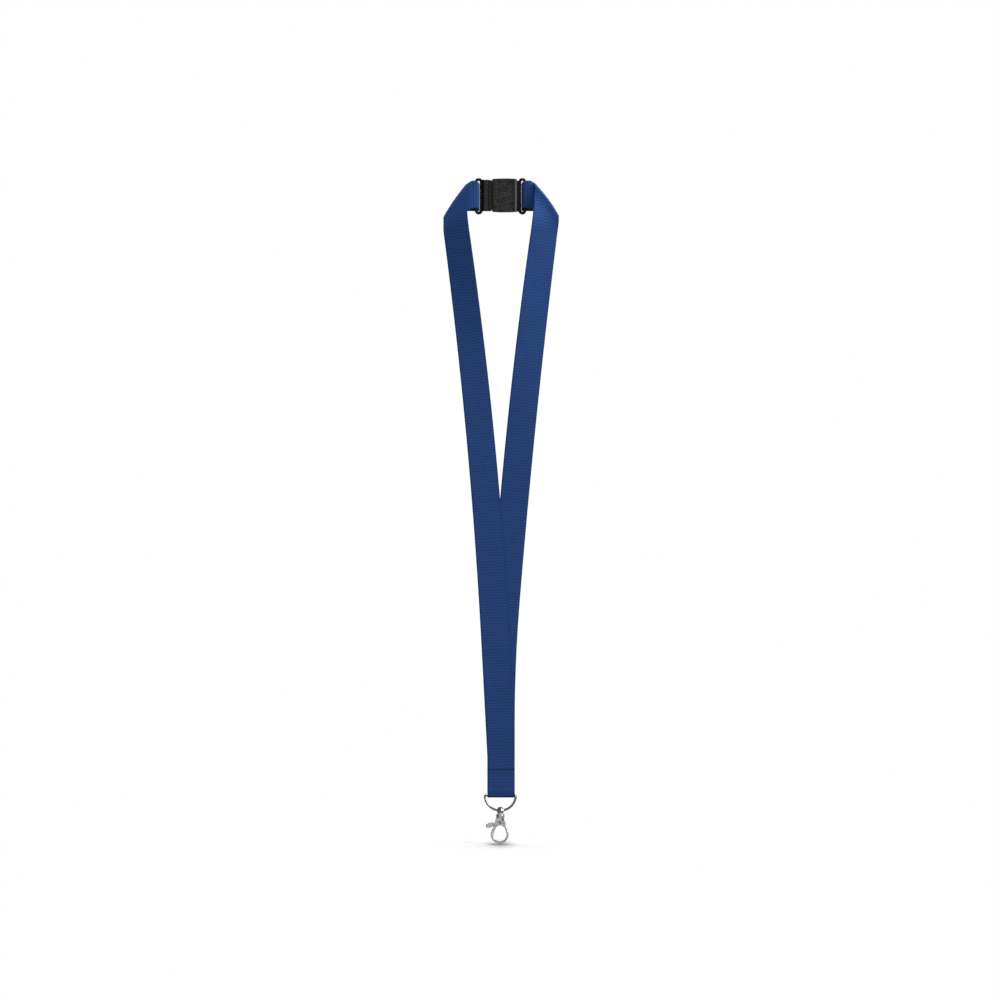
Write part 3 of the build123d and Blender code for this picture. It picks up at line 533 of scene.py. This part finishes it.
def plastic_material():
    """Black acetal: spark-eroded grain on the flat panels, smoother on the rings and rims, worn edges, and a
    painted highlight across the socket beside its ring.
    """
    material, tree, shader = new_material("black_acetal")
    place = add(tree, "TexCoord").outputs["Object"]
    grain = add(tree, "TexNoise", {"Vector": place, "Scale": 1000.0, "Detail": 4.0}).outputs[0]
    pits = add(tree, "TexVoronoi", {"Vector": place, "Scale": 1500.0}).outputs[0]
    cloud = add(tree, "TexNoise", {"Vector": place, "Scale": 260.0, "Detail": 3.0}).outputs[0]
    parts = add(tree, "SeparateXYZ", {0: place}).outputs
    depth = calc(tree, "ABSOLUTE", parts[1])
    socket = stripe(tree, parts[0], SOCKET_PANEL[0] * MM, SOCKET_PANEL[1] * MM, 0.3 * MM)
    grip_values = {0: parts[0], 1: GRIP_X * MM, 2: GRIP_HALF_WIDTH * MM}
    grip = add(tree, "Math", grip_values, operation="COMPARE").outputs[0]
    grained = calc(tree, "MAXIMUM", socket, calc(tree, "MULTIPLY", grip, 0.3))
    panel = calc(tree, "MULTIPLY", span(tree, depth, PANEL_DEPTH[0] * MM, PANEL_DEPTH[1] * MM), grained)
    worn = add(tree, "NewGeometry").outputs["Pointiness"]
    rub = span(tree, worn, 0.52, 0.60)
    fine = add(tree, "TexNoise", {"Vector": place, "Scale": 2800.0, "Detail": 2.0}).outputs[0]
    speckle = calc(tree, "ADD", calc(tree, "MULTIPLY", grain, 0.45), calc(tree, "MULTIPLY", cloud, 0.2))
    speckle = calc(tree, "ADD", speckle, calc(tree, "MULTIPLY", fine, 0.35))
    pale = calc(tree, "MULTIPLY", span(tree, speckle, 0.43, 0.59), panel)
    colour = blend_colour(tree, pale, BLACK, SPECKLE_GREY)
    colour = blend_colour(tree, calc(tree, "MULTIPLY", rub, 0.25), colour, WORN_GREY)
    # painted highlight across the socket's end, beside its ring
    strip = stripe(tree, parts[0], HIGHLIGHT_STRIP[0] * MM, HIGHLIGHT_STRIP[1] * MM, 0.4 * MM)
    colour = blend_colour(tree, strip, colour, HIGHLIGHT_GREY)
    tree.links.new(colour, shader.inputs["Base Color"])
    tree.links.new(span(tree, panel, 0.0, 1.0, 0.30, 0.52), shader.inputs["Roughness"])
    shader.inputs["Specular IOR Level"].default_value = 0.25
    height = calc(tree, "ADD", grain, calc(tree, "MULTIPLY", pits, 0.6))
    height = calc(tree, "MULTIPLY", height, span(tree, panel, 0.0, 1.0, 0.08, 1.0))
    bump = add(tree, "Bump", {"Height": height, "Strength": 0.8, "Distance": 0.0003})
    tree.links.new(bump.outputs[0], shader.inputs["Normal"])
    return material


def metal_material(name, light, dark, roughness, scratch, relief):
    """Plated metal: faint casting waves, fine scratches and duller patches."""
    material, tree, shader = new_material(name)
    place = add(tree, "TexCoord").outputs["Object"]
    waves = add(tree, "TexNoise", {"Vector": place, "Scale": 420.0, "Detail": 2.0}).outputs[0]
    stretched = add(tree, "VectorMath", {0: place, 1: (1.0, 1.0, 0.12)}, operation="MULTIPLY").outputs[0]
    scratches = add(tree, "TexNoise", {"Vector": stretched, "Scale": 5200.0, "Detail": 3.0}).outputs[0]
    patches = add(tree, "TexNoise", {"Vector": place, "Scale": 900.0, "Detail": 4.0}).outputs[0]
    colour = blend_colour(tree, span(tree, patches, 0.35, 0.7), light, dark)
    tree.links.new(colour, shader.inputs["Base Color"])
    shader.inputs["Metallic"].default_value = 1.0
    rough = span(tree, patches, 0.3, 0.75, roughness, roughness + 0.16)
    tree.links.new(rough, shader.inputs["Roughness"])
    height = calc(tree, "ADD", waves, calc(tree, "MULTIPLY", scratches, scratch))
    bump = add(tree, "Bump", {"Height": height, "Strength": 0.35, "Distance": relief})
    tree.links.new(bump.outputs[0], shader.inputs["Normal"])
    return material


# ---------------------------------------------------------------- pieces
webbing_look = webbing_material()
thread_look = thread_material()


def webbing_piece(name, spec, path, nodes):
    grid, along = woven_grid(*path)
    piece = new_object(name, webbing_mesh(name, spec["side"], grid, along))
    piece.data.materials.append(webbing_look)
    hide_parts(*nodes)
    return piece, grid, along


left_strap, left_grid, left_along = webbing_piece(
    "left_strap", LEFT, left_path(), ["left_webbing", "left_webbing_end"]
)
right_strap, right_grid, right_along = webbing_piece(
    "right_strap", RIGHT, right_path(), ["right_webbing"]
)
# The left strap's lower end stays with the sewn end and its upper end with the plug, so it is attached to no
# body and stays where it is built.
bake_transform(left_strap)
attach(right_strap, "right_side")


def seam(name, body, node, spec, grid, along, rows):
    """Stitches sunk in the outer face of the webbing.

    Each row is given by the stretch of webbing it lies in, an axis of the frame, and its place on that.
    """
    work = bmesh.new()
    frames = grid_frame(grid)
    places = (np.arange(STITCHES) - (STITCHES - 1) / 2) * STITCH_PITCH
    for start, end, axis, value in rows:
        stretch = np.nonzero((along >= start) & (along <= end))[0]
        middle = grid[stretch, COLUMNS // 2, axis]
        row = stretch[np.argmin(np.abs(middle - value))]
        for place in places:
            column = np.argmin(np.abs(ACROSS - place))
            lengthways, crossways, inward = [v[row, column] for v in frames]
            centre = grid[row, column] - inward * (WEB_THICK / 2 - STITCH_DEPTH)
            turn = Matrix((crossways, lengthways, -inward)).transposed().to_4x4()
            size = Matrix.Diagonal((STITCH_LENGTH / 2, STITCH_WIDTH / 2, STITCH_HEIGHT / 2, 1.0))
            flip = Matrix.Diagonal((spec["side"] * MM, MM, MM, 1.0))
            bmesh.ops.create_uvsphere(
                work, u_segments=STITCH_SIDES, v_segments=STITCH_RINGS, radius=1.0,
                matrix=flip @ Matrix.Translation(centre) @ turn @ size,
            )
    mesh = bpy.data.meshes.new(name)
    work.to_mesh(mesh)
    work.free()
    tidy_normals(mesh)
    mesh.materials.append(thread_look)
    piece = new_object(name, mesh)
    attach(piece, body)
    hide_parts(node)


plastic = plastic_material()
pale_grey = (0.90, 0.90, 0.90, 1)
mid_grey = (0.56, 0.56, 0.57, 1)
dull_grey = (0.40, 0.40, 0.40, 1)
dark_grey = (0.30, 0.30, 0.30, 1)
casting = metal_material("nickel_casting", pale_grey, mid_grey, 0.20, scratch=0.15, relief=0.0002)
wire = metal_material("nickel_wire", dull_grey, dark_grey, 0.26, scratch=0.3, relief=0.00012)
steel = metal_material("spring_steel", mid_grey, dull_grey, 0.28, scratch=0.6, relief=0.00012)
LOOKS = {
    "buckle_plug": plastic,
    "buckle_socket": plastic,
    "d_ring": wire,
    "swivel_eye": casting,
    "hook_body": casting,
    "gate_lever": casting,
    "gate_pivot_pin": wire,
}
for node, look in LOOKS.items():
    cad = frame["nodes"][node]
    cad.data.materials.clear()
    cad.data.materials.append(look)

neck_rows = [(start, end, X_AXIS, NECK_SEAM_X) for start, end in (NECK_BACK, NECK_FRONT)]
right_end = right_along[-1]
end_rows = [
    (right_end - start, right_end - end, Z_AXIS, z)
    for start, end in (END_BACK, END_FLAP)
    for z in END_SEAM_Z
]
seam("left_neck_seam", "left_side", "left_neck_stitches", LEFT, left_grid, left_along, neck_rows)
seam("right_neck_seam", "right_side", "right_neck_stitches", RIGHT, right_grid, right_along, neck_rows)
seam("end_seam", "right_side", "end_stitches", RIGHT, right_grid, right_along, end_rows)


# ---------------------------------------------------------------- gate spring
SPRING_X = 1.75
SPRING_Y = FRONT_Y
SPRING_TOP_Z = -456.8
SPRING_LOW_Z = -459.3
SPRING_R = 0.4
SPRING_WIRE_R = 0.12
SPRING_TURNS = 5
RINGS_PER_TURN = 24
WIRE_SIDES = 10


def spring():
    """The gate's helical spring; its lower end is pressed up by the heel of the gate."""
    rings = SPRING_TURNS * RINGS_PER_TURN + 1
    turn = np.linspace(0, 2 * math.pi * SPRING_TURNS, rings)
    height = np.linspace(SPRING_TOP_Z - SPRING_WIRE_R, SPRING_LOW_Z + SPRING_WIRE_R, rings)
    outward = rows_of(np.cos(turn), np.sin(turn), 0.0)
    middle = rows_of(SPRING_X, SPRING_Y, height) + SPRING_R * outward
    around = np.linspace(0, 2 * math.pi, WIRE_SIDES, endpoint=False)[:, None]
    upward = np.array([0.0, 0.0, 1.0])
    section = np.cos(around) * outward[:, None] + np.sin(around) * upward
    points = (middle[:, None] + SPRING_WIRE_R * section).reshape(-1, 3) * MM
    faces = [tuple(range(WIRE_SIDES)), tuple(range(len(points) - WIRE_SIDES, len(points)))]
    for ring in range(rings - 1):
        for side in range(WIRE_SIDES):
            a = ring * WIRE_SIDES + side
            b = ring * WIRE_SIDES + (side + 1) % WIRE_SIDES
            faces.append((a, b, b + WIRE_SIDES, a + WIRE_SIDES))
    mesh = bpy.data.meshes.new("gate_spring_wire")
    mesh.from_pydata(points.tolist(), [], faces)
    tidy_normals(mesh)
    mesh.materials.append(steel)
    piece = new_object("gate_spring_wire", mesh)
    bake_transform(piece)
    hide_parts("gate_spring")


spring()

# ---------------------------------------------------------------- stage, light and camera
CAMERA_DISTANCE = 4.08
LENS = 200.0
SENSOR_WIDTH = 36.0
FAR_CLIP = 30.0
ELEVATION = 3.0             # degrees by which the camera looks down
AIM = (-0.00037, -0.00135, -0.22275)
LIGHT_AIM = (0.0, 0.0, -0.22)
FLOOR_GAP = 0.0006          # between the hook and the floor under it
FLOOR_R = 0.055
FLOOR_SIDES = 96
SHADOW_R = 0.014            # half the width of the soft shadow painted on the floor
SHADOW_SQUEEZE = 0.3        # its width as a share of its depth
SHADOW_GREY = (0.34, 0.34, 0.34, 1)
FLOOR_GREY = (0.69, 0.69, 0.69, 1)
BOUNCE_GREY = (0.3, 0.3, 0.3, 1)            # the floor as the object sees it
WHITE = (1, 1, 1, 1)
floor_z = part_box("hook_body")[0].z - FLOOR_GAP


def floor():
    """A white disc under the object with a soft shadow painted in its colour; it also takes the object's cast
    shadow, and fades away into the white around it.
    """
    mesh = bpy.data.meshes.new("floor")
    turn = [2 * math.pi * i / FLOOR_SIDES for i in range(FLOOR_SIDES)]
    rim = [(FLOOR_R * math.cos(a), FLOOR_R * math.sin(a), floor_z) for a in turn]
    mesh.from_pydata(rim, [], [tuple(range(FLOOR_SIDES))])
    disc = new_object("floor", mesh)
    material, tree, shader = new_material("white_floor")
    place = add(tree, "TexCoord").outputs["Object"]
    squeeze = (1.0, SHADOW_SQUEEZE, 0.0)
    narrow = add(tree, "VectorMath", {0: place, 1: squeeze}, operation="MULTIPLY").outputs[0]
    off_centre = add(tree, "VectorMath", {0: narrow}, operation="LENGTH").outputs["Value"]
    # painted shadow, darkest under the hook and fading out to the floor's grey
    around = span(tree, off_centre, 0.0, SHADOW_R)
    seen_colour = blend_colour(tree, around, SHADOW_GREY, FLOOR_GREY)
    seen = add(tree, "LightPath").outputs["Is Camera Ray"]
    shade = blend_colour(tree, seen, BOUNCE_GREY, seen_colour)
    tree.links.new(shade, shader.inputs["Base Color"])
    shader.inputs["Roughness"].default_value = 1.0
    shader.inputs["Specular IOR Level"].default_value = 0.0
    flat = add(tree, "VectorMath", {0: place, 1: (1.0, 1.0, 0.0)}, operation="MULTIPLY").outputs[0]
    distance = add(tree, "VectorMath", {0: flat}, operation="LENGTH").outputs["Value"]
    clear = add(tree, "BsdfTransparent")
    fade = span(tree, distance, 0.0, FLOOR_R)
    mix = add(tree, "MixShader", {0: fade, 1: shader.outputs[0], 2: clear.outputs[0]})
    tree.links.new(mix.outputs[0], tree.nodes["Material Output"].inputs[0])
    mesh.materials.append(material)


def softbox(name, place, size, power):
    """A rectangular area light, width and height in metres and power in watts, turned to the object."""
    data = bpy.data.lights.new(name, "AREA")
    data.shape = "RECTANGLE"
    data.size, data.size_y = size
    data.energy = power
    light = new_object(name, data)
    light.location = place
    towards = Vector(LIGHT_AIM) - Vector(place)
    light.rotation_euler = towards.to_track_quat("-Z", "Y").to_euler()


def world():
    """White as a background; as light, dim, with a wide glow behind the object and a soft patch in front."""
    made = bpy.data.worlds.new("studio")
    bpy.context.scene.world = made
    made.use_nodes = True
    tree = made.node_tree
    tree.nodes.clear()
    direction = add(tree, "SeparateXYZ", {0: add(tree, "TexCoord").outputs["Generated"]}).outputs
    behind = span(tree, direction[1], -0.1, 0.8, 0.04, 0.42)
    in_front = span(tree, direction[1], -0.98, -0.80, 0.50, 0.0)
    lit = add(tree, "Background", {"Color": WHITE, "Strength": calc(tree, "ADD", behind, in_front)})
    seen = add(tree, "Background", {"Color": WHITE, "Strength": 1.0})
    ray = add(tree, "LightPath").outputs["Is Camera Ray"]
    mix = add(tree, "MixShader", {0: ray, 1: lit.outputs[0], 2: seen.outputs[0]})
    add(tree, "OutputWorld", {0: mix.outputs[0]})


def camera():
    """A long lens in front of the object, looking down a little at AIM."""
    data = bpy.data.cameras.new("camera")
    data.lens = LENS
    data.sensor_width = SENSOR_WIDTH
    data.clip_end = FAR_CLIP
    made = new_object("camera", data)
    lift = math.radians(ELEVATION)
    made.location = (
        AIM[0],
        AIM[1] - CAMERA_DISTANCE * math.cos(lift),
        AIM[2] + CAMERA_DISTANCE * math.sin(lift),
    )
    made.rotation_euler = (math.pi / 2 - lift, 0, 0)
    bpy.context.scene.camera = made


floor()
world()
softbox("key", place=(1.6, -0.8, 0.3), size=(0.7, 1.1), power=37.0)
softbox("top", place=(0.0, 0.05, 1.35), size=(0.8, 0.25), power=32.0)
softbox("front_top", place=(0.2, -1.5, 1.2), size=(1.0, 0.8), power=6.0)
softbox("glint", place=(-1.3, -1.3, 0.1), size=(0.3, 1.4), power=2.5)
camera()
bpy.context.scene.view_settings.view_transform = "Standard"
